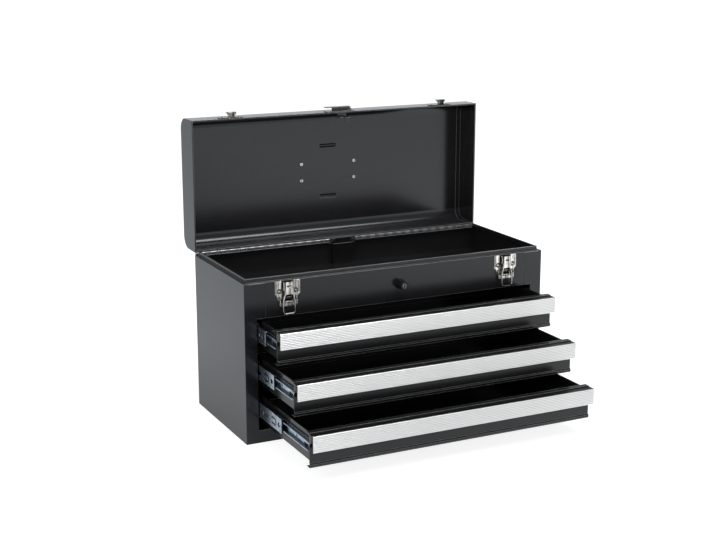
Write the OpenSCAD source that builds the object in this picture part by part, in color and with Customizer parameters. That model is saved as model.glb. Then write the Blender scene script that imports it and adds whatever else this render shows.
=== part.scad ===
// Portable steel tool box: a lift-up lid over a till, and three drawers on ball-bearing slides.
// Millimetres. X runs to the right, the front faces -Y and Z is up. The origin is on the
// resting face, under the middle of the cabinet. The lid stands open and the drawers are
// pulled out by different amounts.

/* [Cabinet] */
// Width of the cabinet
body_w = 520; // [480:5:600]
// Depth of the cabinet, without hinge and pulls
body_d = 212; // [212:2:250]
// Height of the cabinet up to the shoulder that the lid closes on
body_h = 250; // [245:1:275]
// Thickness of the sheet steel
sheet = 1; // [0.8:0.1:1.2]
// Width of the upright stiles beside the drawers
stile_w = 20; // [18:1:28]
// Width of the side panels' front flanges above and below the drawers
corner_flange_w = 33.5; // [31:0.5:40]
// Height of the rail under the lowest drawer
rail_h = 20; // [16:1:24]
// Height of the front panel over the drawers
fascia_h = 55; // [52:1:60]
// How far the rim stands in from the cabinet walls
rim_inset = 5.5; // [5:0.5:7]
// Height of the rim above the shoulder
rim_h = 6.3; // [5:0.1:8]
// Depth of the till floor below the shoulder
till_depth = 39.5; // [38:0.5:42]

/* [Lid] */
// Height of the lid
lid_h = 52; // [46:1:64]
// Outer radius of the lid's two long bends
lid_r = 20; // [12:1:24]
// How far each end of the lid stands in from the cabinet side
lid_end_inset = 1; // [0.5:0.5:2]
// Height of the folded hem along the lid's lower edge
lid_hem_h = 10; // [6:1:12]
// Angle that the lid stands open
lid_open = 90; // [60:5:90]

/* [Hinge] */
// How far each end of the piano hinge stops short of the cabinet's side
hinge_inset = 2; // [2:0.5:20]
// Number of knuckles on the hinge, both leaves together
knuckles = 61; // [41:2:71]
// Outer radius of a knuckle
knuckle_r = 2.4; // [2.3:0.1:2.6]
// Radius of the hinge pin
hinge_pin_r = 1.3; // [1:0.1:1.3]
// Width of a hinge leaf
leaf_w = 22; // [16:1:26]

/* [Drawers] */
// Gap over the top drawer front
front_top_gap = 2.2; // [1.5:0.1:3]
// Gap under the lowest drawer front
front_bottom_gap = 3; // [2:0.5:4]
// Gap between two drawer fronts
drawer_gap = 7.2; // [6:0.2:9]
// Gap between a drawer front and the stile
front_side_gap = 4; // [2:0.5:5]
// Height of the tray's floor above the front's lower edge
tray_lift = 7; // [5:0.5:9]
// How far the tray's sides stop below the front's top
tray_drop = 3; // [2:0.5:5]
// How far the tray's back stops below the front's top
tray_back_drop = 14; // [12:1:17]
// Free depth behind the closed drawers
back_room = 17; // [15:0.5:20]
// Height of the stepped bead along the front's lower edge
bead_h = 6.5; // [5:0.5:8]
// How far the bead stands proud of the front
bead_proud = 2.2; // [1.5:0.1:3]
// How far the top drawer is pulled out
drawer_1_out = 66; // [0:1:182]
// How far the middle drawer is pulled out
drawer_2_out = 126; // [0:1:182]
// How far the lowest drawer is pulled out
drawer_3_out = 178; // [0:1:182]

/* [Pulls] */
// Height of the aluminium pull
pull_h = 24.7; // [20:0.1:28]
// How far the pull stands proud of the drawer front
pull_proud = 13.4; // [11:0.2:16]
// Wall of the pull
pull_wall = 1.5; // [1.2:0.1:2]
// Drop from the front's top edge to the pull's
pull_drop = 1.2; // [0.6:0.1:2]
// Number of ribs along the pull's face
pull_ribs = 9; // [6:1:12]
// Depth of the grooves between the ribs
rib_depth = 0.7; // [0.3:0.1:0.9]

/* [Slides] */
// Height of the slide's cabinet member
slide_h = 29; // [28:0.5:31]
// Length of each slide member
slide_len = 190; // [180:2:196]
// Steel thickness of the slide members
slide_t = 1; // [0.8:0.1:1.1]
// Radius of the bearing balls
ball_r = 1.5; // [1.4:0.05:1.6]
// Number of balls in a row
balls = 5; // [4:1:6]
// Drop from the front's top edge to the middle of the slide
slide_drop = 20.8; // [19:0.2:22]
// Full travel of a drawer
travel = 182; // [160:2:186]
// Length of a ball cage
cage_len = 98; // [80:1:98]

/* [Latches] */
// Distance from the cabinet's side to the middle of a latch
latch_inset = 69.5; // [66:0.5:90]
// Width of the latch plate
latch_w = 41; // [38:1:46]
// Length of the latch lever below its pin
lever_len = 37; // [34:1:40]
// Distance from the lever's pin to the hook's pin
hook_crank = 12; // [11:0.5:13]
// Radius of the latch pins
latch_pin_r = 1.2; // [1:0.1:1.3]

/* [Lock] */
// Height of the lock below the shoulder
lock_drop = 28; // [27:0.5:28]
// Radius of the collar that the lock bears on
collar_r = 8.5; // [8:0.1:10]
// Radius of the lock barrel
barrel_r = 6.5; // [6:0.25:7]
// How far the barrel stands proud of the front
barrel_proud = 15; // [8:0.5:16]
// Radius of the turning plug
plug_r = 4.2; // [3.8:0.1:4.6]
// Width of the lock bar's head
bar_head_w = 46; // [40:1:50]
// How far the closing lid pushes the lock bar down
bar_stroke = 6; // [5:0.25:6]

/* [Handle] */
// Distance between the two handle saddles
saddle_pitch = 98; // [90:2:110]
// Distance between the two rivets of a saddle
saddle_rivets = 28; // [26:1:32]
// Radius of the handle's bar
bail_r = 3; // [2.5:0.25:3.5]
// Distance from the handle's pivot to the middle of the grip
bail_drop = 43; // [40:1:50]
// Radius of the grip
grip_r = 8; // [7.5:0.25:9]
// Height of the bumps that the grip falls on
bump_h = 3; // [2:0.1:3.2]

/* [Fits] */
// Radial clearance of a pin in a turning eye
pin_gap = 0.05; // [0.03:0.01:0.09]
// Gap between the lid's edge and the shoulder, and other seats that don't touch
seat_gap = 0.3; // [0.2:0.05:0.4]
// Gap between a ball and its races
race_gap = 0.06; // [0.04:0.01:0.08]

/* [Hidden] */
$fn = 48;

paint = [0.13, 0.13, 0.14];
paint_inside = [0.10, 0.10, 0.11];
zinc = [0.66, 0.68, 0.70];
nickel = [0.80, 0.79, 0.76];
aluminium = [0.90, 0.90, 0.90];
steel = [0.75, 0.75, 0.77];
black_plastic = [0.07, 0.07, 0.07];

hw = body_w / 2;
hd = body_d / 2;
ply_gap = 0.2;
hem_t = 2 * sheet + ply_gap;
open_half = hw - stile_w;
open_top = body_h - fascia_h;
stile_return = 3.5;
flange_x = hw - corner_flange_w;
joggle_w = 12;
tuck_w = 12;
lip_w = 9;
floor_flange_h = 11;
rim_x = hw - rim_inset;
rim_y = -hd + rim_inset;
till_z = body_h - till_depth;
rim_hem_h = 5.7;
rim_back = hd - rim_inset;

// The lid turns about the hinge pin, which lies just behind the back of the cabinet.
hinge_len = body_w - 2 * hinge_inset;
hinge_y = hd + knuckle_r + ply_gap;
lid_z = body_h + seat_gap;
hinge_z = body_h + 1.4;
lid_x = hw - lid_end_inset;
lid_top = lid_z + lid_h;

// Drawer fronts share the opening equally, less the gaps between them.
front_h = (open_top - rail_h - front_top_gap - front_bottom_gap - 2 * drawer_gap) / 3;
front_x = open_half - front_side_gap;
outs = [drawer_1_out, drawer_2_out, drawer_3_out];
function front_top(i) = open_top - front_top_gap - i * (front_h + drawer_gap);
tray_back_y = hd - sheet - back_room;

// Slide section: u runs from the carrier towards the drawer and w is the height.
race_r = ball_r + race_gap;
cage_t = 0.5;
cage_gap = 0.25;
mid_u = slide_t + cage_t + 2 * cage_gap;
inner_u = mid_u + slide_t + cage_t + 2 * cage_gap;
ball_1_u = mid_u + race_r + 0.55;
ball_2_u = inner_u + race_r + 0.35;
ball_1_w = slide_h / 2 - slide_t - race_r;
ball_2_w = ball_1_w - 2 * race_r - slide_t;
inner_web_u = ball_2_u + race_r + slide_t + cage_gap;
slide_total = inner_web_u + slide_t;
inner_web_h = 18;
carrier_x = open_half + sheet;
slide_y = -hd + sheet + stile_return + seat_gap;
cage_y = slide_y + travel / 4 + seat_gap;
tray_x = carrier_x - slide_total;

// The latch's own frame: x across, y out from the fascia, z down from the shoulder.
latch_x = hw - latch_inset;
latch_t = 1;
pin_out = 4;
lever_pin_z = -13;
hook_pin_z = lever_pin_z - hook_crank;
ear_x = 7.2;
arm_x = ear_x - latch_t - 0.2;
loop_x = arm_x + 2.8;
hook_x = arm_x - 0.5;
hook_face = 6.6;
wing_gap_x = 9.8;
rivet_sink = 0.5;
claw_top = -2;
rivet_x = 13.3;
rivet_z = -16.6;
rivet_r = 3;

// The lock bar stands in its channel at the middle of the back.
bar_w = 30;
bar_t = 1.2;
channel_w = 36;
channel_d = 6.5;
channel_top = body_h - 3.5;
channel_bottom = 24;
channel_y = hd - sheet - channel_d;
bar_y = channel_y + sheet + 0.4;
bar_bottom = 50;
bar_top = lid_z - seat_gap + bar_stroke;
finger_w = 10;
finger_play = 3;
spring_r = 1.9;
spring_wire = 0.45;
spring_turns = 8;

// The handle's pivot lies in saddles on the lid.
pivot_h = bail_r + seat_gap;
saddle_w = 16;
saddle_t = 1.5;
elbow_r = 7;
leg_x = saddle_pitch / 2 + saddle_w / 2 + elbow_r + 1;
bail_tilt = asin((bump_h + seat_gap + grip_r - pivot_h) / bail_drop);
bump_w = 32;
bump_r = 4.5;

// ---- Shared forms ----

// Extrusions of a section along each axis: (y, z) along X, (x, z) along Y, (x, y) along Z.
module along_x(x0, x1) translate([x0, 0, 0]) rotate([90, 0, 90]) linear_extrude(x1 - x0) children();
module along_y(y0, y1) translate([0, y1, 0]) rotate([90, 0, 0]) linear_extrude(y1 - y0) children();
module along_z(z0, z1) translate([0, 0, z0]) linear_extrude(z1 - z0) children();

module slab(x0, x1, y0, y1, z0, z1) translate([x0, y0, z0]) cube([x1 - x0, y1 - y0, z1 - z0]);
module both_sides() { children(); mirror([1, 0, 0]) children(); }
module rod_x(x0, x1, y, z, r) translate([x0, y, z]) rotate([0, 90, 0]) cylinder(r = r, h = x1 - x0);
module rod_y(y0, y1, x, z, r) translate([x, y0, z]) rotate([-90, 0, 0]) cylinder(r = r, h = y1 - y0);
module rod_z(z0, z1, x, y, r) translate([x, y, z0]) cylinder(r = r, h = z1 - z0);

// Round-ended slot cut along X.
module slot_x(x0, x1, y0, y1, z, r) {
    rod_x(x0, x1, y0 + r, z, r);
    rod_x(x0, x1, y1 - r, z, r);
    slab(x0, x1, y0 + r, y1 - r, z - r, z + r);
}

// A flat U between two heights with rounded lower corners.
module u_plate(half, low, high, r) {
    translate([-half, low + r]) square([2 * half, high - low - r]);
    translate([-half + r, low]) square([2 * (half - r), r]);
    for (s = [-1, 1]) translate([s * (half - r), low + r]) circle(r);
}

// A folded sheet's section: the path is its outer face, and the steel lies to its left.
function unit(v) = v / norm(v);
function left_of(v) = [-v[1], v[0]];
function edge_dir(p, i) = unit(p[i + 1] - p[i]);
function corner(p, i) =
    let (a = left_of(edge_dir(p, max(i - 1, 0))),
        b = left_of(edge_dir(p, min(i, len(p) - 2))))
    (a + b) / (1 + a * b);
function folded(p, t) = concat(p, [for (i = [len(p) - 1 : -1 : 0]) p[i] + t * corner(p, i)]);

// A pie slice that trims a ring to the arc between two angles.
function slice(a0, a1, r) = concat([[0, 0]],
    [for (i = [0 : 6]) r * [cos(a0 + (a1 - a0) * i / 6), sin(a0 + (a1 - a0) * i / 6)]]);

// ---- Cabinet ----

// One bent blank: the wall with its front flange, which narrows to a stile beside the drawers,
// and the shoulder and hemmed rim folded in along its top.
module side_panel_left() {
    wide_flange = folded([[-flange_x, -hd], [-hw, -hd], [-hw, hd]], -sheet);
    color(paint) union() {
        along_z(0, rail_h) polygon(wide_flange);
        along_z(rail_h, open_top) polygon(folded([[-open_half, -hd + sheet + stile_return],
            [-open_half, -hd], [-hw, -hd], [-hw, hd]], -sheet));
        along_z(open_top, body_h - sheet) polygon(wide_flange);
        along_z(open_top + 2 * sheet, body_h - 2 * sheet) joggle(sheet);
        along_y(-hd, hd) polygon(folded([[-hw, body_h - 2 * sheet], [-hw, body_h],
            [-rim_x + sheet, body_h]], -sheet));
        along_y(rim_y + hem_t + ply_gap, rim_back) polygon(folded([
            [-rim_x, body_h - sheet], [-rim_x, body_h + rim_h],
            [-rim_x + hem_t, body_h + rim_h], [-rim_x + hem_t, body_h + rim_h - rim_hem_h]],
            -sheet));
    }
}

// Tongue on the flange's edge, stepped back so that the next panel laps over it.
module joggle(overlap) {
    translate([-flange_x - overlap, -hd + sheet]) square([joggle_w + overlap, sheet]);
}

module side_panel_right() mirror([1, 0, 0]) side_panel_left();

// Flat back with side flanges and a short shoulder folded forward along its top, which is
// notched for the lock bar's head.
module back_panel() {
    shoulder_x = rim_x - hem_t - sheet;
    notch_x = bar_head_w / 2 + 1;
    color(paint) union() {
        slab(-hw + sheet, hw - sheet, hd - sheet, hd, 0, body_h);
        along_z(sheet + floor_flange_h, till_z - tuck_w) polygon(folded([
            [-hw + sheet, hd - tuck_w], [-hw + sheet, hd], [hw - sheet, hd],
            [hw - sheet, hd - tuck_w]], -sheet));
        both_sides() along_x(notch_x, shoulder_x) polygon(folded([
            [hd, body_h - tuck_w], [hd, body_h], [hd - rim_inset, body_h]], sheet));
    }
}

// Floor of the cabinet, turned up at the front into the rail under the drawers.
module bottom_panel() {
    color(paint) union() {
        slab(-hw + sheet, hw - sheet, -hd + sheet, hd - sheet, 0, sheet);
        along_y(-hd + tuck_w, hd - tuck_w) polygon(folded([
            [-hw + sheet, floor_flange_h], [-hw + sheet, 0], [hw - sheet, 0],
            [hw - sheet, floor_flange_h]], sheet));
        along_x(-flange_x + ply_gap, flange_x - ply_gap) polygon(folded([
            [-hd + lip_w, rail_h], [-hd, rail_h], [-hd, 0], [hd - sheet, 0]], sheet));
        both_sides() slab(flange_x - ply_gap - sheet, flange_x + joggle_w, -hd + sheet,
            -hd + 2 * sheet, 0, rail_h - 2 * sheet);
    }
}

// Front panel over the drawers, with the shoulder and the hemmed rim folded into its top.
module fascia() {
    color(paint) difference() {
        union() {
            along_x(-flange_x + ply_gap, flange_x - ply_gap) polygon(folded([
                [-hd + lip_w, open_top], [-hd, open_top], [-hd, body_h],
                [-hd + 2 * sheet, body_h]], -sheet));
            along_x(-rim_x + ply_gap, rim_x - ply_gap) polygon(folded([
                [-hd, body_h], [rim_y, body_h], [rim_y, body_h + rim_h],
                [rim_y + hem_t, body_h + rim_h], [rim_y + hem_t, body_h + rim_h - rim_hem_h]],
                -sheet));
            both_sides() slab(rim_x - hem_t, rim_x, rim_y, rim_y + hem_t, body_h, body_h + rim_h);
        }
        rod_y(-hd - 1, -hd + 2 * sheet, 0, body_h - lock_drop, barrel_r);
        both_sides() for (s = [-1, 1])
            rod_y(-hd - 1, -hd + 2 * sheet, latch_x + s * rivet_x, body_h + rivet_z, rivet_r / 2);
    }
}

// Floor of the till under the lid, notched at the back for the lock bar's channel.
module till_floor() {
    notch_x = channel_w / 2 + sheet;
    color(paint_inside) difference() {
        along_y(-hd + 3 * sheet, hd - sheet) polygon(folded([
            [-hw + sheet, till_z - lip_w], [-hw + sheet, till_z], [hw - sheet, till_z],
            [hw - sheet, till_z - lip_w]], -sheet));
        slab(-notch_x, notch_x, channel_y - seat_gap, hd, till_z - lip_w, till_z + 1);
    }
}

// Upright carrier panel that the slides are riveted to, standing from the floor to the till.
module slide_carrier_left() {
    color(paint_inside) along_z(sheet, till_z - sheet) polygon(folded([
        [-carrier_x - tuck_w, hd - sheet], [-carrier_x, hd - sheet],
        [-carrier_x, -hd + 2 * sheet], [-carrier_x - lip_w, -hd + 2 * sheet]], -sheet));
}

module slide_carrier_right() mirror([1, 0, 0]) slide_carrier_left();

// ---- Hinge ----

knuckle_pitch = hinge_len / knuckles;
leaf_foot = knuckle_r + seat_gap;

// One leaf, seen closed: a strip with its own knuckles rolled round the pin.
module hinge_leaf(first, up) {
    difference() {
        union() {
            slab(-hinge_len / 2, hinge_len / 2, hd, hd + sheet,
                up > 0 ? hinge_z + leaf_foot : hinge_z - leaf_w,
                up > 0 ? hinge_z + leaf_w : hinge_z - leaf_foot);
            for (i = [first : 2 : knuckles - 1])
                translate([-hinge_len / 2 + i * knuckle_pitch, 0, 0]) {
                    rod_x(ply_gap / 2, knuckle_pitch - ply_gap / 2, hinge_y, hinge_z, knuckle_r);
                    slab(ply_gap / 2, knuckle_pitch - ply_gap / 2, hd, hd + sheet,
                        up > 0 ? hinge_z : hinge_z - leaf_foot,
                        up > 0 ? hinge_z + leaf_foot : hinge_z);
                }
        }
        rod_x(-hinge_len / 2 - 1, hinge_len / 2 + 1, hinge_y, hinge_z, hinge_pin_r + pin_gap);
    }
}

module hinge_leaf_body() color(paint) hinge_leaf(0, -1);
module hinge_leaf_lid() color(paint) on_lid() hinge_leaf(1, 1);
module hinge_pin() {
    color(steel) rod_x(-hinge_len / 2, hinge_len / 2, hinge_y, hinge_z, hinge_pin_r);
}

// ---- Lid ----

// Everything on the lid is drawn closed and then swung open about the hinge pin.
module on_lid() {
    translate([0, hinge_y, hinge_z]) rotate([-lid_open, 0, 0]) translate([0, -hinge_y, -hinge_z])
        children();
}

// Outline of the lid's end, drawn in by a margin all round but at the bottom.
module hood(m) {
    r = lid_r - m;
    translate([-hd + m, lid_z]) square([body_d - 2 * m, lid_h - lid_r]);
    translate([-hd + lid_r, lid_z]) square([body_d - 2 * lid_r, lid_h - m]);
    for (s = [-1, 1]) translate([s * (hd - lid_r), lid_top - lid_r]) circle(r);
}

// Pressed rest that keeps the fallen grip off the lid: a round back with ball ends.
module bump(r) {
    half = bump_w / 2 - bump_r + sheet;
    for (s = [-1, 1]) translate([0, s * bail_drop, lid_top + bump_h - bump_r]) {
        rod_x(-half, half, 0, 0, r);
        for (e = [-1, 1]) translate([e * half, 0, 0]) sphere(r);
    }
}

// One sheet wrapped over the top, hemmed along its two lower edges.
module lid_shell() {
    color(paint) on_lid() difference() {
        union() {
            along_x(-lid_x + sheet, lid_x - sheet) difference() {
                hood(0);
                hood(sheet);
            }
            for (s = [0, 1]) mirror([0, s, 0]) along_x(-lid_x + hem_t + ply_gap,
                lid_x - hem_t - ply_gap) polygon(folded([[-hd, lid_z + 2 * sheet], [-hd, lid_z],
                [-hd + hem_t, lid_z], [-hd + hem_t, lid_z + lid_hem_h]], sheet));
            intersection() {
                bump(bump_r);
                slab(-bump_w, bump_w, -hd, hd, lid_top - sheet, lid_top + 2 * bump_h);
            }
        }
        bump(bump_r - sheet);
        both_sides() for (s = [-1, 1])
            translate([saddle_pitch / 2, s * saddle_rivets / 2, lid_top - 2])
                cylinder(r = rivet_r / 2, h = 4);
    }
}

// Pressed end cap, flanged into the shell and hemmed along its lower edge.
module lid_end_left() {
    color(paint) on_lid() union() {
        along_x(-lid_x, -lid_x + sheet) hood(0);
        difference() {
            along_x(-lid_x + sheet, -lid_x + 9) difference() {
                hood(sheet);
                hood(2 * sheet);
            }
            slab(-lid_x, 0, -hd, hd, lid_z - 1, lid_z + lid_hem_h + ply_gap);
        }
        along_y(-hd + sheet + ply_gap, hd - sheet - ply_gap) polygon(folded([
            [-lid_x, lid_z + 2 * sheet], [-lid_x, lid_z],
            [-lid_x + hem_t, lid_z], [-lid_x + hem_t, lid_z + lid_hem_h]], sheet));
    }
}

module lid_end_right() mirror([1, 0, 0]) lid_end_left();

// Finger lift on the lid's front edge: a channel, open below, whose flanges run past its web.
module lid_lift() {
    lift_w = 51;
    lift_d = 8;
    lift_h = 10;
    color(paint) on_lid() translate([0, -hd, lid_z + 1.5]) {
        slab(-lift_w / 2, lift_w / 2, -1.2, 0, 0, lift_h);
        slab(-lift_w / 2, lift_w / 2 - 6, -lift_d, -lift_d + 1.2, 0, lift_h);
        along_z(lift_h - 1.2, lift_h) polygon([[-11, -lift_d], [lift_w / 2 - 6, -lift_d],
            [lift_w / 2, -1.2], [lift_w / 2, 0], [-11, 0]]);
    }
}

// Catch inside the lid that the lock's cam turns over.
catch_drop = 7;
catch_y = rim_y + hem_t + 1.2;
module lock_catch() {
    color(paint) on_lid() union() {
        along_x(-2, 14) polygon(folded([[-hd + hem_t, lid_z + lid_hem_h - 1],
            [-hd + hem_t, lid_z + rim_h + 1.5], [catch_y, lid_z + rim_h + 1.5],
            [catch_y, body_h - 2]], sheet));
        along_x(4.5, 14) polygon(folded([[catch_y, body_h - 1], [catch_y, body_h - catch_drop],
            [catch_y + 7, body_h - catch_drop]], sheet));
    }
}

// Strike riveted to the lid's front: a round-cornered flange, and a waisted nose whose wide tip
// turns up for the claw.
module strike() {
    nose_z = 2.2;
    nose_t = 1.2;
    nose_out = 9.5;
    color(nickel) on_lid() translate([0, -hd, lid_z]) {
        along_y(-latch_t, 0) u_plate(20, 1.7, 12.5, 2);
        along_z(nose_z, nose_z + nose_t) polygon([[-8, -nose_out], [8, -nose_out], [8, -6.5],
            [5, -4.5], [7, -latch_t], [-7, -latch_t], [-5, -4.5], [-8, -6.5]]);
        along_x(-8, 8) polygon([[-nose_out, nose_z], [nose_t - nose_out, nose_z],
            [nose_t - nose_out, 8.5], [nose_t / 2 - nose_out, 9.5], [-nose_out, 8.5]]);
        along_x(-0.6, 0.6) polygon([[-nose_out + nose_t / 2, nose_z + nose_t / 2],
            [-latch_t / 2, nose_z + nose_t / 2], [-latch_t / 2, nose_z + 3]]);
    }
}

module strike_left() translate([-latch_x, 0, 0]) strike();
module strike_right() translate([latch_x, 0, 0]) strike();

// A cap of a sphere, flat side down.
module dome(r, h) {
    ball = (r * r + h * h) / (2 * h);
    intersection() {
        translate([0, 0, h - ball]) sphere(ball);
        cylinder(r = 2 * r, h = 2 * h);
    }
}

// Domed head outside, neck through the sheet and clenched ring inside.
module rivet(head_r, head_h, grip, ring_r) {
    ring_h = 0.8;
    translate([0, 0, -grip]) cylinder(r = head_r / 2, h = grip);
    dome(head_r, head_h);
    translate([0, 0, -grip - ring_h]) difference() {
        cylinder(r = ring_r, h = ring_h);
        translate([0, 0, -ring_h]) cylinder(r = ring_r / 2, h = 1.8 * ring_h);
    }
}

module lid_rivets() {
    color(nickel) on_lid() both_sides() {
        for (s = [-1, 1])
            translate([saddle_pitch / 2, s * saddle_rivets / 2, lid_top + saddle_t])
                rivet(rivet_r, 1.4, saddle_t + sheet, 2.6);
        for (s = [-1, 1]) translate([latch_x + s * 14.5, -hd - latch_t, lid_z + 7.2])
            rotate([90, 0, 0]) dome(2.4, 1.1);
    }
}

// ---- Handle ----

// Everything that turns with the handle, drawn lying back towards the hinge.
module on_handle() {
    on_lid() translate([0, 0, lid_top + pivot_h]) rotate([bail_tilt, 0, 0]) children();
}

// Two strap saddles hold the bar's turned-in ends against the lid.
module handle_saddles() {
    eye = bail_r + pin_gap;
    over = eye + saddle_t;
    color(nickel) on_lid() both_sides() translate([saddle_pitch / 2, 0, lid_top]) difference() {
        along_x(-saddle_w / 2, saddle_w / 2) difference() {
            union() {
                translate([-saddle_rivets / 2 - 5, 0]) square([saddle_rivets + 10, saddle_t]);
                translate([-over, 0]) square([2 * over, pivot_h]);
                translate([0, pivot_h]) circle(over);
            }
            translate([0, pivot_h]) circle(eye);
            translate([-eye, -1]) square([2 * eye, pivot_h + 1]);
            translate([-over, -over]) square([2 * over, over]);
        }
        for (s = [-1, 1]) translate([0, s * saddle_rivets / 2, -1])
            cylinder(r = rivet_r / 2, h = saddle_t + 2);
    }
}

// Round bar: ends turned in through the saddles, two legs, and a cross bar inside the grip.
module handle_bail() {
    color(nickel) on_handle() union() {
        rod_x(-leg_x + elbow_r, leg_x - elbow_r, bail_drop, 0, bail_r);
        both_sides() {
            rod_x(saddle_pitch / 2 - saddle_w / 2 - 2, leg_x - elbow_r, 0, 0, bail_r);
            rod_y(elbow_r, bail_drop - elbow_r, leg_x, 0, bail_r);
            translate([leg_x - elbow_r, elbow_r, 0]) rotate([0, 0, -90])
                rotate_extrude(angle = 90) translate([elbow_r, 0]) circle(bail_r);
            translate([leg_x - elbow_r, bail_drop - elbow_r, 0])
                rotate_extrude(angle = 90) translate([elbow_r, 0]) circle(bail_r);
        }
    }
}

// Moulded grip: a sleeve with shallow finger hollows.
module handle_grip() {
    grip_half = leg_x - elbow_r - 1;
    hollow = 22;
    rings = 36;
    function swell(s) = grip_r - 0.9 * (1 - cos(360 * s / hollow)) / 2 * (abs(s) < 1.5 * hollow ? 1 : 0);
    color(black_plastic) on_handle() translate([0, bail_drop, 0]) rotate([0, 90, 0]) difference() {
        rotate_extrude() polygon(concat([[0, -grip_half], [grip_r - 1.5, -grip_half]],
            [for (i = [0 : rings]) let (s = (i / rings * 2 - 1) * (grip_half - 1.5)) [swell(s), s]],
            [[grip_r - 1.5, grip_half], [0, grip_half]]));
        translate([0, 0, -grip_half - 1]) cylinder(r = bail_r, h = 2 * grip_half + 2);
    }
}

// ---- Latches ----

module on_latch(side) translate([side * latch_x, -hd, body_h]) mirror([0, 1, 0]) children();

// Pressed flute on a wing of the latch plate.
module flute(x, low, high) {
    rod_z(low, high, x, latch_t, 0.9);
    for (z = [low, high]) translate([x, latch_t, z]) sphere(0.9);
}

// Nickelled plate: two fluted wings, a tapering body with a window and upturned side flanges,
// and between the wings two tall ears for the lever, bent up out of the gap that the hook
// fills.
module latch_base() {
    half = latch_w / 2;
    waist = half - 4;
    foot = half - 6.5;
    nip = 1.5;
    top = -0.6;
    color(nickel) difference() {
        union() {
            along_y(0, latch_t) difference() {
                polygon([[-half, top - nip], [nip - half, top], [half - nip, top],
                    [half, top - nip], [half, -21], [waist, -25], [foot, -40], [-foot, -40],
                    [-waist, -25], [-half, -21]]);
                translate([-ear_x, lever_pin_z + 3]) square([2 * ear_x, 20]);
                for (s = [0, 1]) mirror([s, 0]) translate([ear_x + latch_t, lever_pin_z + 1])
                    square([wing_gap_x - ear_x - latch_t, 20]);
                u_plate(ear_x - latch_t, -35, lever_pin_z - 5, 2);
            }
            both_sides() {
                flute(half - 2, -18, -3);
                along_x(foot - latch_t, foot) polygon([[0, -24], [3, -26], [5, -30], [5, -38],
                    [3, -40], [0, -40]]);
                along_x(ear_x, ear_x + latch_t) polygon([[0, top - 1], [4.2, top - 1],
                    [6.2, top - 3], [6.2, lever_pin_z - 2], [pin_out, lever_pin_z - 4],
                    [0, lever_pin_z - 5]]);
            }
        }
        rod_x(-half, half, pin_out, lever_pin_z, latch_pin_r);
        both_sides() {
            rod_y(-1, 3, rivet_x, rivet_z, rivet_r / 2);
            rod_y(latch_t - rivet_sink, 3, rivet_x, rivet_z, rivet_r + 0.8);
        }
    }
}

module latch_base_left() on_latch(-1) latch_base();
module latch_base_right() on_latch(1) latch_base();

// Two rivets through each latch plate, their heads sunk in dimples.
module latch_rivets() {
    color(nickel) for (side = [-1, 1]) on_latch(side) both_sides()
        translate([rivet_x, latch_t - rivet_sink, rivet_z]) rotate([-90, 0, 0])
            rivet(rivet_r, 2, latch_t - rivet_sink + sheet, 2.4);
}

// Short pins, peened outside the ears, that the levers turn on.
module latch_pins() {
    color(nickel) for (side = [-1, 1]) on_latch(side) both_sides() {
        rod_x(arm_x - 0.4, ear_x + latch_t, pin_out, lever_pin_z, latch_pin_r);
        rod_x(ear_x + latch_t, ear_x + latch_t + 0.8, pin_out, lever_pin_z, 1.9);
        rod_x(arm_x - 1, arm_x - 0.3, pin_out, lever_pin_z, 1.7);
    }
}

// Lever: two arms between the ears, which splay below the hook's pin into a round-cornered loop
// with a turned-out finger lip, and a rolled stiffening bar across the loop.
module latch_lever() {
    tip = lever_pin_z - lever_len;
    reach = hook_face + latch_t;
    shank = reach - 3;
    splay_top = hook_pin_z + 3;
    splay_low = hook_pin_z - 6;
    color(nickel) {
        difference() {
            union() {
                both_sides() {
                    along_x(arm_x, arm_x + latch_t) {
                        translate([pin_out, lever_pin_z]) circle(2.7);
                        polygon([[1.6, lever_pin_z], [6.7, lever_pin_z], [reach, lever_pin_z - 4],
                            [reach, splay_top], [1.6, splay_top]]);
                    }
                    intersection() {
                        along_y(1.6, reach) polygon([[arm_x, splay_top], [arm_x + latch_t, splay_top],
                            [loop_x + latch_t, splay_low], [loop_x + latch_t, tip + 4],
                            [loop_x, tip + 4], [loop_x, splay_low]]);
                        along_x(0, 20) polygon([[1.6, splay_top], [reach, splay_top], [reach, tip],
                            [shank, tip], [shank, splay_low - 2], [1.6, splay_low + 4]]);
                    }
                }
                along_y(shank, reach) difference() {
                    u_plate(loop_x + latch_t, tip, tip + 6, 3);
                    u_plate(loop_x, tip + latch_t, tip + 7, 2);
                }
                along_x(-loop_x + 2, loop_x - 2) polygon(folded([[reach - latch_t, tip],
                    [reach, tip], [reach + 1, tip - 1]], latch_t));
                along_x(-loop_x - latch_t / 2, loop_x + latch_t / 2)
                    translate([pin_out + 0.8, hook_pin_z - 7.2]) difference() {
                        circle(1.9);
                        circle(1.9 - latch_t);
                    }
            }
            rod_x(-20, 20, pin_out, lever_pin_z, latch_pin_r + pin_gap);
            rod_x(-20, 20, pin_out, hook_pin_z, latch_pin_r);
        }
        rod_x(-arm_x - 2.6, arm_x + 2.6, pin_out, hook_pin_z, latch_pin_r);
    }
}

module latch_lever_left() on_latch(-1) latch_lever();
module latch_lever_right() on_latch(1) latch_lever();

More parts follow.
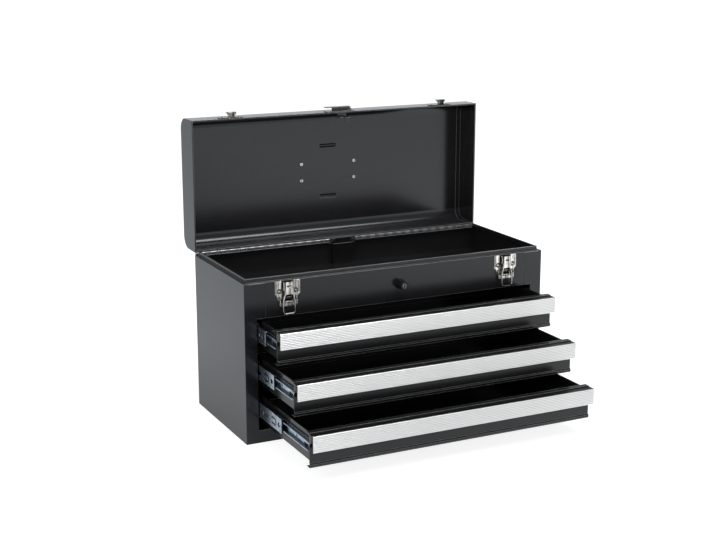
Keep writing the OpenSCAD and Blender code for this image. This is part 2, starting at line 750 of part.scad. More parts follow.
// Hook: a slotted draw plate folded over into a claw at its top, with two eyes on the lever's pin.
module latch_hook() {
    face = hook_face + latch_t;
    slot_x_half = hook_x - 2.2;
    color(nickel) difference() {
        union() {
            along_x(-hook_x, hook_x) polygon(folded([[0.4, claw_top - 3.5], [0.4, claw_top],
                [face, claw_top], [face, hook_pin_z + 4]], -latch_t));
            both_sides() along_x(hook_x - 1.6, hook_x - 0.4) {
                translate([pin_out, hook_pin_z]) circle(2.2);
                polygon([[pin_out - 2.2, hook_pin_z], [pin_out + 2.2, hook_pin_z],
                    [face, hook_pin_z + 4], [face, hook_pin_z + 9], [hook_face, hook_pin_z + 9]]);
            }
        }
        rod_x(-20, 20, pin_out, hook_pin_z, latch_pin_r + pin_gap);
        slab(-slot_x_half, slot_x_half, hook_face - 1, face + 1, claw_top - 7.5, claw_top - 5.2);
    }
}

module latch_hook_left() on_latch(-1) latch_hook();
module latch_hook_right() on_latch(1) latch_hook();

// ---- Lock ----

lock_z = body_h - lock_drop;
barrel_in = 12;
nut_h = 3;
cam_t = 1.5;
cam_hook_w = 3.5;
cam_reach = lock_drop - catch_drop + sheet + 0.5;

module on_lock() translate([0, -hd, lock_z]) children();

// Barrel with a round collar against the fascia.
module lock_barrel() {
    color(black_plastic) on_lock() difference() {
        union() {
            rod_y(-1.5, 0, 0, 0, collar_r);
            rod_y(-barrel_proud, barrel_in, 0, 0, barrel_r);
        }
        rod_y(-barrel_proud - 1, barrel_in + 1, 0, 0, plug_r + pin_gap);
    }
}

// Hexagonal nut that clamps the barrel from inside.
module lock_nut() {
    color(zinc) on_lock() translate([0, sheet, 0]) rotate([-90, 0, 0]) difference() {
        cylinder(r = barrel_r + 3, h = nut_h, $fn = 6);
        translate([0, 0, -1]) cylinder(r = barrel_r, h = nut_h + 2);
    }
}

// Turning plug with the keyway in its face and a square neck for the cam.
module lock_plug() {
    color(steel) on_lock() difference() {
        union() {
            rod_y(-barrel_proud - 0.4, barrel_in + 0.3, 0, 0, plug_r);
            rod_y(barrel_in + 0.3 + cam_t, barrel_in + 0.3 + cam_t + 2, 0, 0, plug_r - 0.3);
            slab(-2.5, 2.5, barrel_in, barrel_in + 0.3 + cam_t, -2.5, 2.5);
        }
        slab(-0.8, 0.8, -barrel_proud - 1, -barrel_proud + 5, 1 - plug_r, plug_r - 1);
    }
}

// Cam, drawn unlocked: it lies to the left, and its hooked tip turns up over the lid's catch.
module lock_cam() {
    color(zinc) on_lock() along_y(barrel_in + 0.3, barrel_in + 0.3 + cam_t) difference() {
        union() {
            circle(6);
            polygon([[-cam_reach, -3.5], [-3, -5], [-3, 5], [-cam_reach, 3.5]]);
            polygon([[-cam_reach - cam_hook_w, -3.5], [-cam_reach, -3.5], [-cam_reach, 11],
                [-cam_reach - cam_hook_w, 11]]);
        }
        square(5, center = true);
    }
}

// Hat-section channel on the back panel that guides the lock bar, with a foot for its spring.
module lock_bar_channel() {
    half = channel_w / 2;
    color(paint_inside) difference() {
        union() {
            along_z(channel_bottom, channel_top) polygon(folded([[half + 6, hd - 2 * sheet],
                [half, hd - 2 * sheet], [half, channel_y], [-half, channel_y],
                [-half, hd - 2 * sheet], [-half - 6, hd - 2 * sheet]], -sheet));
            slab(-half, half, channel_y, hd - sheet, channel_bottom, channel_bottom + sheet);
        }
        for (i = [0 : 2]) slab(-finger_w / 2 - 1, finger_w / 2 + 1, channel_y - 1,
            channel_y + 2 * sheet, finger_z(i) - bar_stroke - 2, finger_z(i) + bar_t + 2);
        slab(-half - 7, half + 7, hd - 3 * sheet, hd - sheet / 2, till_z - sheet - ply_gap,
            till_z + ply_gap);
    }
}

// The bar's fingers drop in front of the drawers' backs when the lid pushes the bar down.
function finger_z(i) = front_top(i) - tray_back_drop + bar_stroke + 1;
module lock_bar() {
    tip_y = tray_back_y - sheet - finger_play;
    color(paint_inside) union() {
        slab(-bar_w / 2, bar_w / 2, bar_y, bar_y + bar_t, bar_bottom, bar_top);
        along_x(-bar_head_w / 2, bar_head_w / 2) polygon(folded([
            [bar_y, bar_top - 3], [bar_y, bar_top], [hd - sheet - ply_gap, bar_top]], -bar_t));
        for (i = [0 : 2]) along_x(-finger_w / 2, finger_w / 2) polygon(folded([
            [bar_y + bar_t, finger_z(i) + bar_t], [tip_y - bar_t, finger_z(i) + bar_t],
            [tip_y - bar_t, finger_z(i) - bar_stroke]], bar_t));
        slab(-2, 2, bar_y, bar_y + bar_t, bar_bottom - 6, bar_bottom);
    }
}

// Coil spring between the channel's foot and the bar: one tube swept along a helix.
spring_foot = channel_bottom + sheet + spring_wire;
spring_rise = bar_bottom - 6 - spring_wire - spring_foot;
function coil_point(s) = [spring_r * cos(s), spring_r * sin(s),
    spring_foot + spring_rise * s / (360 * spring_turns)];
function coil_ring(s) = [for (k = [0 : 5]) coil_point(s)
    + spring_wire * (cos(60 * k) * [cos(s), sin(s), 0] + sin(60 * k) * [0, 0, 1])];
module lock_bar_spring() {
    n = 10 * spring_turns;
    points = [for (i = [0 : n]) each coil_ring(360 * spring_turns * i / n)];
    sides = [for (i = [0 : n - 1], k = [0 : 5]) let (a = 6 * i + k, b = 6 * i + (k + 1) % 6)
        each [[a, b, b + 6], [a, b + 6, a + 6]]];
    ends = concat([for (k = [1 : 4]) [0, k + 1, k]], [for (k = [1 : 4]) [6 * n, 6 * n + k, 6 * n + k + 1]]);
    color(steel) translate([0, channel_y + channel_d / 2 + sheet / 2, 0])
        polyhedron(points = points, faces = concat(sides, ends), convexity = 10);
}

// ---- Drawers ----

// Folded tray with hemmed sides, and a front with a top flange and a bevelled bead below.
module drawer(i) {
    top = front_top(i);
    base = top - front_h;
    side_top = top - tray_drop;
    floor_z = base + tray_lift;
    color(paint_inside) translate([0, -outs[i], 0]) union() {
        along_y(-hd + sheet, tray_back_y) polygon(folded([
            [-tray_x + hem_t, side_top - 6], [-tray_x + hem_t, side_top], [-tray_x, side_top],
            [-tray_x, floor_z], [tray_x, floor_z], [tray_x, side_top],
            [tray_x - hem_t, side_top], [tray_x - hem_t, side_top - 6]], sheet));
        slab(-tray_x, tray_x, tray_back_y - sheet, tray_back_y, floor_z, top - tray_back_drop);
        along_x(-front_x, front_x) polygon(folded([[-hd + lip_w, top], [-hd, top],
            [-hd, base + bead_h], [-hd - bead_proud, base + bead_h - 0.7 * bead_proud],
            [-hd - bead_proud, base + 0.6 * bead_proud], [-hd - 0.4 * bead_proud, base],
            [-hd + lip_w, base]], sheet));
    }
}

module drawer_1() drawer(0);
module drawer_2() drawer(1);
module drawer_3() drawer(2);

// Extruded pull: ribbed face, top web, rear leg on the drawer front and a rolled-in lower lip.
module pull(i) {
    top = front_top(i) - pull_drop;
    face = -hd - pull_proud;
    pitch = (pull_h - 2) / pull_ribs;
    grooves = [for (k = [0 : pull_ribs - 1]) let (z = top - 1 - k * pitch)
        each [[face, z - 0.25 * pitch], [face + rib_depth, z - 0.5 * pitch], [face, z - 0.75 * pitch]]];
    color(aluminium) translate([0, -outs[i], 0]) along_x(-front_x - 0.3, front_x + 0.3) polygon(concat(
        [[-hd, top], [face + 0.6, top], [face, top - 0.6]], grooves,
        [[face, top - pull_h + 0.6], [face + 0.6, top - pull_h], [face + 4.5, top - pull_h],
        [face + 4.5, top - pull_h + pull_wall], [face + pull_wall + 0.5, top - pull_h + pull_wall],
        [face + pull_wall + 0.5, top - pull_wall], [-hd - pull_wall, top - pull_wall],
        [-hd - pull_wall, top - 14], [-hd, top - 14]]));
}

module pull_1() pull(0);
module pull_2() pull(1);
module pull_3() pull(2);

// ---- Slides ----

// A race curled round one row of balls, between two angles about the ball's centre.
module race(u, w, a0, a1) {
    translate([u, w]) intersection() {
        difference() {
            circle(race_r + slide_t);
            circle(race_r);
        }
        polygon(slice(a0, a1, 3 * (race_r + slide_t)));
    }
}

// The upper halves of the three nested members; each is mirrored about its mid height.
module outer_half() {
    square([slide_t, slide_h / 2]);
    translate([0, slide_h / 2 - slide_t]) square([ball_1_u, slide_t]);
    race(ball_1_u, ball_1_w, -15, 90);
}

module mid_half() {
    translate([mid_u, 0]) square([slide_t, ball_1_w - race_r]);
    translate([mid_u, ball_1_w - race_r - slide_t]) square([ball_2_u - mid_u, slide_t]);
    intersection() {
        race(ball_1_u, ball_1_w, 200, 270);
        translate([mid_u, 0]) square([slide_total, slide_h]);
    }
    race(ball_2_u, ball_2_w, -15, 90);
}

module inner_half() {
    translate([inner_web_u, 0]) square([slide_t, inner_web_h / 2]);
    translate([ball_2_u, ball_2_w - race_r - slide_t])
        square([slide_total - ball_2_u, slide_t]);
    intersection() {
        race(ball_2_u, ball_2_w, 200, 270);
        translate([inner_u, 0]) square([slide_total, slide_h]);
    }
}

module upper_and_lower() { children(); mirror([0, 1]) children(); }

// Puts a slide member on both sides of drawer i, moved out by a share of the drawer's travel.
module on_slides(i, share) {
    both_sides() translate([-carrier_x, -outs[i] * share, front_top(i) - slide_drop]) children();
}

module slide_outer(i) {
    color(zinc) on_slides(i, 0) difference() {
        along_y(slide_y, slide_y + slide_len) upper_and_lower() outer_half();
        for (k = [0 : 3]) rod_x(-1, slide_t + 1, slide_y + 16 + k * (slide_len - 32) / 3, 0, 2.2);
    }
}

module slide_mid(i) {
    web = mid_u + slide_t + 1;
    color(zinc) on_slides(i, 0.5) difference() {
        along_y(slide_y, slide_y + slide_len) upper_and_lower() mid_half();
        slot_x(0, web, slide_y + 4, slide_y + 13, 0, 3.5);
        difference() {
            slot_x(0, web, slide_y + 18, slide_y + 38, 0, 6);
            slot_x(0, web, slide_y + 22, slide_y + 42, 0, 3);
        }
        for (k = [1 : 3])
            slot_x(0, web, slide_y + k * slide_len / 4, slide_y + k * slide_len / 4 + 20, 0, 3);
    }
}

module slide_inner(i) {
    web = slide_total + 1;
    color(zinc) on_slides(i, 1) difference() {
        along_y(slide_y, slide_y + slide_len) upper_and_lower() inner_half();
        slot_x(inner_u, web, slide_y + 6, slide_y + 22, -3, 2.5);
        for (k = [1 : 3]) rod_x(inner_u, web, slide_y + k * slide_len / 4, 0, 2.2);
        slot_x(inner_u, web, slide_y + slide_len - 24, slide_y + slide_len - 10, 0, 3);
    }
}

module slide_outer_1() slide_outer(0);
module slide_outer_2() slide_outer(1);
module slide_outer_3() slide_outer(2);
module slide_mid_1() slide_mid(0);
module slide_mid_2() slide_mid(1);
module slide_mid_3() slide_mid(2);
module slide_inner_1() slide_inner(0);
module slide_inner_2() slide_inner(1);
module slide_inner_3() slide_inner(2);

// Ball cage: a thin channel whose flanges are notched for the balls, and the balls themselves.
module cage(i, share, web_u, u, w) {
    pitch = cage_len / balls;
    color(steel) on_slides(i, share) {
        difference() {
            along_y(cage_y, cage_y + cage_len) upper_and_lower() {
                translate([web_u, 0]) square([cage_t, w + cage_t / 2]);
                translate([web_u, w - cage_t / 2]) square([u + 0.9 - web_u, cage_t]);
            }
            for (k = [0 : balls - 1]) translate([u, cage_y + (k + 0.5) * pitch, -w - 1])
                cylinder(r = race_r + race_gap, h = 2 * w + 2);
        }
        for (k = [0 : balls - 1], s = [-1, 1])
            translate([u, cage_y + (k + 0.5) * pitch, s * w]) sphere(ball_r);
    }
}

module cage_outer(i) cage(i, 0.25, slide_t + cage_gap, ball_1_u, ball_1_w);
module cage_inner(i) cage(i, 0.75, mid_u + slide_t + cage_gap, ball_2_u, ball_2_w);
module cage_outer_1() cage_outer(0);
module cage_outer_2() cage_outer(1);
module cage_outer_3() cage_outer(2);
module cage_inner_1() cage_inner(0);
module cage_inner_2() cage_inner(1);
module cage_inner_3() cage_inner(2);

side_panel_left();
side_panel_right();
back_panel();
bottom_panel();
fascia();
till_floor();
slide_carrier_left();
slide_carrier_right();
hinge_leaf_body();
hinge_pin();
latch_base_left();
latch_base_right();
latch_rivets();
latch_pins();
lock_barrel();
lock_nut();
lock_bar_channel();
slide_outer_1();
slide_outer_2();
slide_outer_3();
lid_shell();
lid_end_left();
lid_end_right();
hinge_leaf_lid();
strike_left();
strike_right();
lid_rivets();
lid_lift();
lock_catch();
handle_saddles();
handle_bail();
handle_grip();
latch_lever_left();
latch_lever_right();
latch_hook_left();
latch_hook_right();
lock_plug();
lock_cam();
lock_bar();
lock_bar_spring();
drawer_1();
drawer_2();
drawer_3();
pull_1();
pull_2();
pull_3();
slide_inner_1();
slide_inner_2();
slide_inner_3();
slide_mid_1();
slide_mid_2();
slide_mid_3();
cage_outer_1();
cage_outer_2();
cage_outer_3();
cage_inner_1();
cage_inner_2();
cage_inner_3();
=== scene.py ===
import math

import bpy
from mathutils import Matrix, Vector

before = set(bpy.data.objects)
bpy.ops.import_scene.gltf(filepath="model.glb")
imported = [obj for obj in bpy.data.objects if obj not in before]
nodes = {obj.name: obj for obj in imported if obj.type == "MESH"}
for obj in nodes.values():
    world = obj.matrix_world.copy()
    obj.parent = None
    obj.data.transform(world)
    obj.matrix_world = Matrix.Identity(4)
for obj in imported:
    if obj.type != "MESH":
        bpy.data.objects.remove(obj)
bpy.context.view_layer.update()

# ---- Cabinet ----
# Side panels, back, bottom and fascia are bent from 1 mm sheet steel, spot welded together and
# powder coated black. The coat is semi-gloss with a fine orange peel; its bends carry a painted
# highlight.
MM = 0.001
CLOUD_SIZE = 90 * MM
SMEAR_SIZE = 30 * MM
SMEAR_RUN = (1.0, 1.0, 4.0)
PEEL_SIZE = 1.1 * MM
PEEL_DEPTH = 0.005 * MM
SEAM_REACH = 3 * MM
COAT_GLINT = (0.96, 0.98, 1.0)


class Wire:
    """An output in a shader tree. Arithmetic on it adds Math nodes, and node() adds any other."""

    def __init__(self, tree, socket=None):
        self.tree = tree
        self.socket = socket

    def node(self, kind, settings=None, sockets=None, out=0):
        made = self.tree.nodes.new("ShaderNode" + kind)
        for name, value in (settings or {}).items():
            if name == "stops":
                ramp = made.color_ramp
                while len(ramp.elements) < len(value):
                    ramp.elements.new(1.0)
                for element, (position, colour) in zip(ramp.elements, value):
                    element.position = position
                    element.color = colour
            else:
                setattr(made, name, value)
        for name, value in (sockets or {}).items():
            if isinstance(name, int):
                socket = made.inputs[name]
            else:
                socket = [s for s in made.inputs if s.enabled and s.name == name][0]
            if isinstance(value, Wire):
                self.tree.links.new(value.socket, socket)
            else:
                socket.default_value = value
        outputs = [s for s in made.outputs if s.enabled]
        return Wire(self.tree, outputs[out] if isinstance(out, int) else made.outputs[out])

    def math(self, operation, first, second):
        return self.node("Math", {"operation": operation}, {0: first, 1: second})

    def __add__(self, other):
        return self.math("ADD", self, other)

    def __radd__(self, other):
        return self.math("ADD", other, self)

    def __sub__(self, other):
        return self.math("SUBTRACT", self, other)

    def __rsub__(self, other):
        return self.math("SUBTRACT", other, self)

    def __mul__(self, other):
        return self.math("MULTIPLY", self, other)

    def __rmul__(self, other):
        return self.math("MULTIPLY", other, self)

    def __pow__(self, other):
        return self.math("POWER", self, other)


def grey(shade):
    return (shade, shade, shade)


def rgba(colour):
    return (*colour, 1.0)


def clamped(wire, most=1.0):
    """The wire's value, kept between 0 and the most it may be."""
    return wire.node("Clamp", sockets={"Value": wire, "Max": most})


def part(vector, axis):
    """The X, Y or Z part of a vector."""
    return vector.node("SeparateXYZ", sockets={"Vector": vector}, out=axis)


def between(factor, first, second):
    """A mix of two wires or colours."""
    ends = {"A": first if isinstance(first, Wire) else rgba(first),
            "B": second if isinstance(second, Wire) else rgba(second)}
    return factor.node("Mix", {"data_type": "RGBA"}, {"Factor": factor, **ends})


def noise(where, size, detail=2.0, roughness=0.5):
    """Noise from 0 to 1 with blotches of about the given size in metres."""
    sockets = {"Vector": where, "Scale": 1.0 / size, "Detail": detail, "Roughness": roughness}
    return where.node("TexNoise", sockets=sockets)


def stretched(where, along):
    """The place, with each axis scaled, so that a texture runs long in the small ones."""
    return where.node("Mapping", sockets={"Vector": where, "Scale": along})


def new_finish(name, **constants):
    """A material, the place on the object, and a way to feed its shader."""
    material = bpy.data.materials.new(name)
    material.use_nodes = True
    shader = material.node_tree.nodes["Principled BSDF"]
    for socket, value in constants.items():
        shader.inputs[socket.replace("_", " ")].default_value = value
    where = Wire(material.node_tree).node("TexCoord", out="Object")

    def feed(socket, wire):
        material.node_tree.links.new(wire.socket, shader.inputs[socket])

    return material, where, feed


def rounded(where, radius):
    """A normal that turns smoothly round each edge within the radius."""
    return where.node("Bevel", {"samples": 6}, {"Radius": radius})


def facing(where):
    """The sheet's own normal, without any rounding."""
    return where.node("NewGeometry", out="True Normal")


def edges(turned, gain):
    """From 0 on flat sheet to 1 where a rounded normal turns away from the sheet's own."""
    along = turned.node("VectorMath", {"operation": "DOT_PRODUCT"}, {0: turned, 1: facing(turned)},
                        out="Value")
    return clamped(gain * (1.0 - along))


def level(turned):
    """1 where a rounded normal has no sideways part, falling to 0 on upright edges."""
    sideways = part(turned, "X")
    return clamped(1.2 - 12.0 * sideways * sideways)


def relief(turned, height, depth):
    """A fine relief on a rounded normal."""
    return turned.node("Bump", sockets={"Strength": 1.0, "Distance": depth, "Height": height,
                                        "Normal": turned})


def openness(where, reach):
    """1 in the open and 0 deep in a corner, over the given reach."""
    return where.node("AmbientOcclusion", {"samples": 8}, {"Distance": reach}, out="AO")


def enamel(name, colour, worn, roughness, bend, edge_highlight_grey=0.38, upright=0.0, upward=1.0):
    """Powder coat: a fine orange peel, faint clouds of handling, and a painted highlight on its
    edges.

    The edges are painted towards the highlight grey, outside the seams: by upright on the upright
    ones, and by upward on those that face up.
    """
    material, where, feed = new_finish(name, IOR=1.5, Specular_Tint=rgba(COAT_GLINT))
    clouds = noise(where, CLOUD_SIZE, 3.0)
    smear = noise(stretched(where, SMEAR_RUN), SMEAR_SIZE, 4.0)
    bends = rounded(where, bend)
    # Painted highlight: how strongly each edge is painted paler, set by which way the edge faces.
    wear_and_edge_highlight = upright + (1.0 - upright) * level(bends)
    wear_and_edge_highlight = wear_and_edge_highlight * (1.0 - (1.0 - upward) * clamped(part(bends, "Z")))
    # The mask of the painted edge highlight, kept out of seams.
    edge_highlight_mask = edges(bends, 9.0) * openness(where, SEAM_REACH) * wear_and_edge_highlight
    film_and_top_shade = between(clouds * 0.6 + smear * 0.4, colour, worn)
    feed("Base Color", between(edge_highlight_mask, film_and_top_shade, grey(edge_highlight_grey)))
    feed("Roughness", roughness + 0.06 * (smear - 0.5) + 0.04 * (clouds - 0.5))
    feed("Normal", relief(bends, noise(where, PEEL_SIZE, 1.0), PEEL_DEPTH))
    return material


def dress(material, *names):
    """Gives the named pieces the finish."""
    for name in names:
        for slot in nodes[name].material_slots:
            slot.material = material


BLACK = (0.010, 0.010, 0.011)
BLACK_WORN = (0.016, 0.016, 0.017)
coat = enamel("black_powder_coat", BLACK, BLACK_WORN, roughness=0.19, bend=1.2 * MM)
dress(coat, "side_panel_left", "side_panel_right", "back_panel", "bottom_panel", "fascia")

# ---- Till and carriers ----
# The till's floor and the upright carriers of the slides are plain sheet, spot welded to the
# cabinet, and carry the same coat, thinner and smoother.
inner_coat = enamel("thin_black_coat", grey(0.006), grey(0.011), roughness=0.16, bend=0.8 * MM)
dress(inner_coat, "till_floor", "slide_carrier_left", "slide_carrier_right")

# ---- Hinge ----
# A piano hinge: two leaves rolled into knuckles round a bright steel pin. The leaves are coated
# with the box, and the coat is worn to the steel where the knuckles turn.
ALONG_X = (0.04, 1.0, 1.0)
ALONG_Y = (1.0, 0.04, 1.0)
ALONG_Z = (1.0, 1.0, 0.04)
ROLLED_LINE = 0.7 * MM
CRYSTAL_SIZE = 6 * MM
CORNER_REACH = 4 * MM
HINGE_Y = 108.6 * MM
HINGE_Z = 251.4 * MM
KNUCKLE_R = 2.7 * MM


def contrast(wire, gain):
    """The wire's value, with its difference from a half multiplied."""
    return clamped(0.5 + gain * (wire - 0.5))


def plated(name, colour, dull, roughness, run, corner_shade_power=2.0, edge=(0.80, 0.82, 0.84)):
    """Plated or bright steel: lines along the roll, cloudy crystals, painted highlights on edges,
    painted shade in corners.
    """
    material, where, feed = new_finish(name, Metallic=1.0)
    lines = noise(stretched(where, run), ROLLED_LINE, 2.0)
    crystals = noise(where, CRYSTAL_SIZE, 4.0, 0.65)
    cloud = contrast(crystals * 0.6 + lines * 0.4, 3.0)
    bends = rounded(where, 0.5 * MM)
    # Edges painted brighter: a painted highlight.
    clean = between(edges(bends, 6.0), between(cloud, colour, dull), edge)
    # Corners painted dark: a painted shade.
    feed("Base Color", between(openness(where, CORNER_REACH) ** corner_shade_power, grey(0.02), clean))
    feed("Roughness", roughness + 0.18 * (crystals - 0.5) + 0.12 * (lines - 0.5))
    feed("Normal", relief(bends, lines, 0.012 * MM))
    return material


def leaf_finish(name, lit_worn_steel, shade):
    """The box's coat on the flat leaf, and worn steel on the knuckles round the pin."""
    material, where, feed = new_finish(name, IOR=1.5)
    y = part(where, "Y") - HINGE_Y
    z = part(where, "Z") - HINGE_Z
    knuckle = clamped(2.0 - (y * y + z * z) * KNUCKLE_R ** -2)
    wear = noise(where, 5 * MM, 3.0)
    feed("Base Color", between(knuckle, (0.011, 0.011, 0.012), between(wear, lit_worn_steel, shade)))
    feed("Metallic", knuckle)
    feed("Roughness", 0.22 + 0.14 * knuckle * wear)
    lines = noise(stretched(where, ALONG_X), ROLLED_LINE, 2.0)
    feed("Normal", relief(rounded(where, 0.4 * MM), lines, 0.006 * MM))
    return material


steel = plated("bright_steel", (0.70, 0.70, 0.72), (0.48, 0.48, 0.50), roughness=0.22, run=ALONG_X)
# The lid leaf's knuckles are painted lighter and the cabinet leaf's darker: a painted highlight and
# a painted shade for the light along the hinge line.
dress(leaf_finish("lid_leaf_lit", (0.30, 0.30, 0.31), (0.20, 0.20, 0.21)), "hinge_leaf_lid")
dress(leaf_finish("cabinet_leaf_shaded", (0.18, 0.18, 0.19), grey(0.10)), "hinge_leaf_body")
dress(steel, "hinge_pin")

# ---- Lid ----
# One sheet wrapped over the top and flanged to two end caps, coated like the cabinet, with a
# painted highlight along its edges. The finger lift and the lock's catch are welded to its front
# edge.
lid_coat = enamel("lid_powder_coat", BLACK, BLACK_WORN, roughness=0.19, bend=1.2 * MM,
                  edge_highlight_grey=0.32, upright=0.5)
dress(lid_coat, "lid_shell", "lid_end_left", "lid_end_right", "lid_lift")
dress(inner_coat, "lock_catch")

# ---- Handle ----
# A bent steel bar, nickel plated, in a moulded black grip. Two strap saddles hold it to the lid,
# and their rivets show inside it.
DRAWN_LINE = 3.5 * MM
HAZE_SIZE = 4 * MM
MARK_SIZE = 1.2 * MM
FOLD_REACH = 1.5 * MM
NICKEL_EDGE_HIGHLIGHT = (1.0, 0.99, 0.95)


def nickelled(name, bright, dull, film_and_top_shade, bend=0.6 * MM):
    """Nickel over pressed steel with drawn lines; painted highlights on edges, painted shade in
    corners and on tops.
    """
    material, where, feed = new_finish(name, Metallic=1.0)
    haze = noise(where, HAZE_SIZE, 3.0)
    marks = noise(where, MARK_SIZE, 2.0)
    drawn = noise(stretched(where, ALONG_Z), DRAWN_LINE, 2.0)
    bends = rounded(where, bend)
    metal = between(contrast(haze * 0.3 + drawn * 0.7, 6.0), bright, dull)
    # Faces that face up are painted towards the film colour: a painted shade.
    metal = between(clamped(4.0 * (part(facing(where), "Z") - 0.3)), metal, film_and_top_shade)
    # Edges painted brighter: a painted highlight.
    wear_and_edge_highlight = between(edges(bends, 8.0), metal, NICKEL_EDGE_HIGHLIGHT)
    # Corners and folds painted dark: a painted shade.
    painted_corner_shade = openness(where, CORNER_REACH) ** 2.0 * openness(where, FOLD_REACH) ** 4.0
    feed("Base Color", between(painted_corner_shade, grey(0.01), wear_and_edge_highlight))
    feed("Roughness", 0.12 + 0.16 * haze)
    feed("Normal", relief(bends, marks, 0.015 * MM))
    return material


def moulded(name, colour, pale, roughness, ior=1.48):
    """Moulded plastic or baked japan, with a fine grain and rubbed high spots."""
    material, where, feed = new_finish(name, IOR=ior)
    wear_and_edge_highlight = noise(where, 12 * MM, 3.0)
    grain = noise(where, 0.6 * MM, 2.0)
    feed("Base Color", between(wear_and_edge_highlight, colour, pale))
    feed("Roughness", roughness + 0.15 * (wear_and_edge_highlight - 0.5))
    feed("Normal", relief(rounded(where, 0.4 * MM), grain, 0.05 * MM))
    return material


# The film colour is a painted shade on faces that face up.
nickel = nickelled("nickel_plate", (0.80, 0.79, 0.74), (0.34, 0.33, 0.30), film_and_top_shade=(0.40, 0.39, 0.36))
dress(nickel, "handle_saddles", "handle_bail", "lid_rivets")
dress(moulded("grip_plastic", grey(0.018), grey(0.030), roughness=0.48), "handle_grip")

# ---- Latches ----
# Two draw latches of pressed and nickelled steel. Each has a plate riveted to the fascia, a
# looped lever on a pin, a hook on the lever, and a strike on the lid's front edge, in a darker
# copy of the nickel that is a painted shade.
# Its film colour is a painted shade on faces that face up.
latch_nickel = nickelled("latch_nickel_plate", (0.98, 0.96, 0.90), (0.28, 0.27, 0.25),
                         film_and_top_shade=grey(0.07))
# The strikes get a darker copy of the latch nickel: a painted shade.
shaded_strike_nickel = nickelled("shaded_strike_nickel_plate", (0.26, 0.25, 0.23), grey(0.01), film_and_top_shade=grey(0.02),
                        bend=0.3 * MM)
dress(latch_nickel, "latch_base_left", "latch_base_right", "latch_rivets", "latch_pins",
      "latch_lever_left", "latch_lever_right", "latch_hook_left", "latch_hook_right")
dress(shaded_strike_nickel, "strike_left", "strike_right")

# ---- Lock ----
# A cam lock in a black japanned barrel, held in the fascia by a nut, with a worn plug. Behind it
# a coated bar in a channel bolts the drawers, over a coil spring.
japan = moulded("black_japan", (0.008, 0.008, 0.009), (0.012, 0.012, 0.013), roughness=0.25,
                ior=1.28)
plug_metal = plated("worn_plug_plate", grey(0.22), grey(0.02), roughness=0.26, run=ALONG_Z,
                    edge=grey(0.45))
zinc = plated("zinc_plate", (0.66, 0.76, 0.86), (0.22, 0.27, 0.33), roughness=0.24, run=ALONG_Y,
              corner_shade_power=1.6, edge=(0.92, 0.96, 1.0))
dress(japan, "lock_barrel")
dress(plug_metal, "lock_plug")
dress(zinc, "lock_nut", "lock_cam")
dress(steel, "lock_bar_spring")
dress(inner_coat, "lock_bar", "lock_bar_channel")

# ---- Slides ----
# Full-extension slides, rolled from zinc-plated strip. Each has three members, and two cages of
# steel balls run in the races between them.
dress(zinc, *[f"slide_{member}_{i}" for i in (1, 2, 3) for member in ("outer", "mid", "inner")])
dress(steel, *[f"cage_{member}_{i}" for i in (1, 2, 3) for member in ("outer", "inner")])

# ---- Drawers ----
# Folded sheet trays with a stepped bead along the front's lower edge. They carry a thin black
# coat, with a painted highlight along the edges, weaker on those that face up.
tray_coat = enamel("tray_coat", grey(0.007), grey(0.012), roughness=0.17, bend=0.9 * MM,
                   edge_highlight_grey=0.75, upward=0.25)
dress(tray_coat, "drawer_1", "drawer_2", "drawer_3")

# ---- Pulls ----
# Ribbed aluminium extrusions, satin anodised, one along the top of each drawer's front. They are
# sawn to length. Their top and their ends are painted dark, a painted shade.
EXTRUSION_LINE = 0.5 * MM


def anodised(name, colour, dull, painted_top_and_end_shade, roughness):
    """Satin aluminium with extrusion lines along its length, and painted shade on its top and ends.
    """
    material, where, feed = new_finish(name, Metallic=1.0)
    lines = noise(stretched(where, ALONG_X), EXTRUSION_LINE, 2.0)
    sideways = part(facing(where), "X")
    # Painted shade: the top faces and the sawn ends are painted towards a dark grey.
    away = clamped(4.0 * (part(facing(where), "Z") - 0.7)) + sideways * sideways
    feed("Base Color", between(away, between(lines, colour, dull), painted_top_and_end_shade))
    feed("Roughness", roughness + 0.10 * (lines - 0.5))
    feed("Normal", relief(rounded(where, 0.3 * MM), lines, 0.010 * MM))
    return material


aluminium = anodised("satin_aluminium", (0.95, 0.955, 0.945), (0.87, 0.875, 0.865),
                     painted_top_and_end_shade=grey(0.04), roughness=0.34)
dress(aluminium, "pull_1", "pull_2", "pull_3")

# ---- Stage ----
# A white floor that keeps a soft shadow, a plain room of pale light, and two large soft lamps.
# Where the coat and the metal mirror the floor it glows, a painted reflection graded darker in the
# middle of the front.
FLOOR_HALF = 14.0
FLOOR_DROP = 0.2 * MM
PAPER_SHADE = 0.55
PAPER_GLOW = 0.85
REAR_GLOW = 0.50
REAR_TINT = (0.86, 0.93, 1.0)


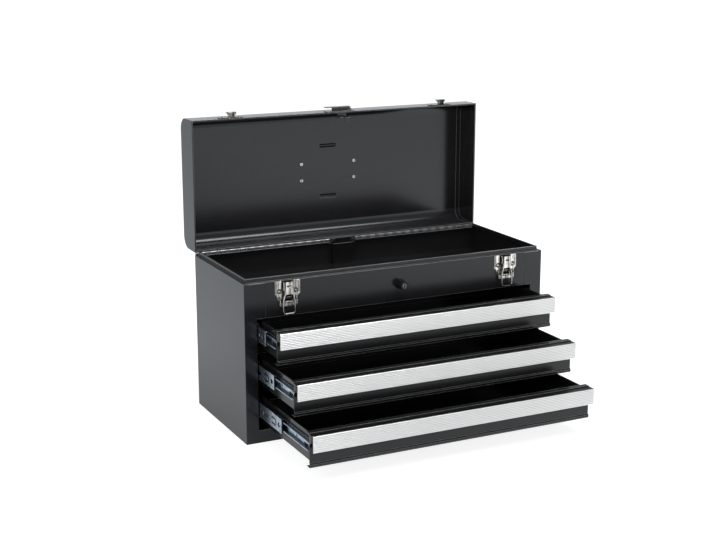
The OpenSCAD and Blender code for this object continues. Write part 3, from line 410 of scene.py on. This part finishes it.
def white_floor():
    """White paper to the camera. In reflections it glows with the graded tones of a lit studio
    floor: a painted reflection.
    """
    material = bpy.data.materials.new("white_floor")
    material.use_nodes = True
    tree = material.node_tree
    tree.nodes.clear()
    start = Wire(tree)
    seen = start.node("LightPath", out="Is Camera Ray")
    mirrored = start.node("LightPath", out="Is Glossy Ray")
    place = start.node("TexCoord", out="Object")
    across, depth = part(place, "X"), part(place, "Y")
    near = clamped(0.9 * (depth + 0.85), 0.4)
    far = clamped(0.5 * (-0.9 - depth))
    front = near + far + clamped(0.9 * across - 0.04)
    rear = clamped(depth + 0.5)
    # Reflections of the floor get a glow graded by place: a painted reflection.
    paper = PAPER_GLOW * seen + (front + rear * (REAR_GLOW - front)) * mirrored
    tint = between(rear * mirrored, grey(1.0), REAR_TINT)
    glow = start.node("Emission", sockets={"Color": between(paper, grey(0.0), tint)})
    lit = start.node("BsdfDiffuse", sockets={"Color": rgba(grey(PAPER_SHADE))})
    both = start.node("AddShader", sockets={0: lit, 1: glow})
    end = tree.nodes.new("ShaderNodeOutputMaterial")
    tree.links.new(both.socket, end.inputs["Surface"])
    return material


mesh = bpy.data.meshes.new("floor")
mesh.from_pydata([(-FLOOR_HALF, -FLOOR_HALF, 0), (FLOOR_HALF, -FLOOR_HALF, 0),
                  (FLOOR_HALF, FLOOR_HALF, 0), (-FLOOR_HALF, FLOOR_HALF, 0)], [], [(0, 1, 2, 3)])
floor = bpy.data.objects.new("floor", mesh)
floor.location.z = -FLOOR_DROP
floor.data.materials.append(white_floor())
bpy.context.scene.collection.objects.link(floor)

HORIZON = rgba((0.95, 0.97, 1.0))
WALL = rgba((0.26, 0.27, 0.28))
CEILING = rgba((0.55, 0.57, 0.60))
ROOM = [(0.0, HORIZON), (0.16, HORIZON), (0.30, WALL), (0.75, WALL), (1.0, CEILING)]

world = bpy.data.worlds.new("studio")
bpy.context.scene.world = world
world.use_nodes = True
world.node_tree.nodes.clear()
sky = Wire(world.node_tree)
height = part(sky.node("TexCoord", out="Generated"), "Z")
tone = sky.node("ValToRGB", {"stops": ROOM}, {"Fac": height}, out="Color")
room = sky.node("Background", sockets={"Color": tone, "Strength": 1.0})
white = sky.node("Background", sockets={"Color": rgba(grey(1.0)), "Strength": 1.0})
seen = sky.node("LightPath", out="Is Camera Ray")
either = sky.node("MixShader", sockets={"Fac": seen, 1: room, 2: white})
end = world.node_tree.nodes.new("ShaderNodeOutputWorld")
world.node_tree.links.new(either.socket, end.inputs["Surface"])

LAMP_AIM = Vector((0, 0, 0.2))


def soft_lamp(name, place, size, watts):
    lamp = bpy.data.lights.new(name, "AREA")
    lamp.shape = "RECTANGLE"
    lamp.size, lamp.size_y = size
    lamp.energy = watts
    made = bpy.data.objects.new(name, lamp)
    made.location = place
    made.rotation_mode = "QUATERNION"
    made.rotation_quaternion = (LAMP_AIM - Vector(place)).to_track_quat("-Z", "Y")
    bpy.context.scene.collection.objects.link(made)


soft_lamp("overhead", place=(0.35, -0.6, 2.35), size=(1.5, 0.9), watts=36)
soft_lamp("left_bank", place=(-2.2, -1.0, 1.3), size=(1.2, 1.8), watts=14)

# ---- Camera ----
# It stands where the photograph was taken from, as fitted to the cabinet's edges: the direction
# and distance of the view, and the lens for the photograph's frame.
PHOTO_WIDTH = 716
FOCAL_PIXELS = 1375.8
SENSOR = 36.0
AZIMUTH = math.radians(-26.18)
ELEVATION = math.radians(13.79)
DISTANCE = 2.2213
AIM = Vector((-0.02086, 0.0, 0.22331))

camera = bpy.data.objects.new("camera", bpy.data.cameras.new("camera"))
bpy.context.scene.collection.objects.link(camera)
bpy.context.scene.camera = camera
camera.data.sensor_width = SENSOR
camera.data.lens = SENSOR * FOCAL_PIXELS / PHOTO_WIDTH
camera.data.clip_end = 100.0
back = Vector((math.sin(AZIMUTH) * math.cos(ELEVATION),
               -math.cos(AZIMUTH) * math.cos(ELEVATION), math.sin(ELEVATION)))
camera.location = AIM + back * DISTANCE
camera.rotation_mode = "QUATERNION"
camera.rotation_quaternion = back.to_track_quat("Z", "Y")

bpy.context.scene.view_settings.view_transform = "Standard"
